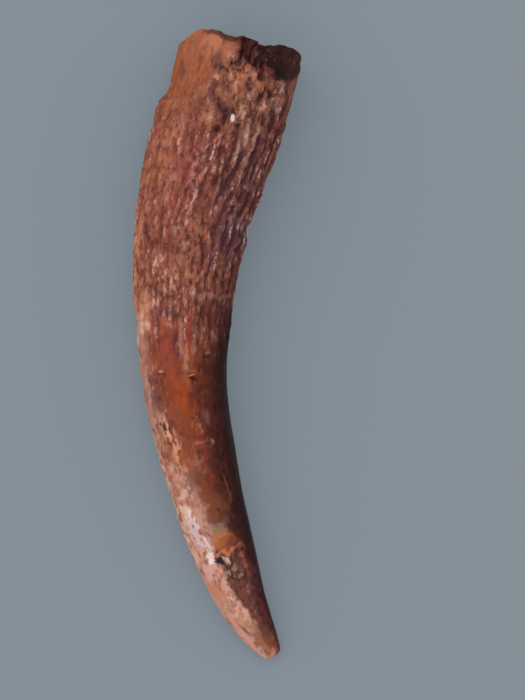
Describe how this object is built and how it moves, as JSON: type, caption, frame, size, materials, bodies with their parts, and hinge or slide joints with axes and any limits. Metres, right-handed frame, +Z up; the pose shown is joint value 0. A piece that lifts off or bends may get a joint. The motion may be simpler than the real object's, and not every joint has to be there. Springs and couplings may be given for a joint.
{
  "type": "fossil pterosaur tooth",
  "caption": "Curved, tapering fossil reptile tooth lying on its side: wrinkled root with a broken, stone-filled end, and a smooth worn crown.",
  "frame": {"origin": "centre of the footprint, on the surface that the tooth lies on", "axes": "+Y from the tip to the broken root, +Z up from the surface it lies on, +X from the convex edge to the concave edge"},
  "size_m": [0.0136, 0.0508, 0.0086],
  "materials": {
    "fossil": "reddish brown mineralised dentine, wrinkled and dull on the root, polished on the crown"
  },
  "bodies": {
    "root": {"tooth": "fossil"}
  },
  "joints": []
}
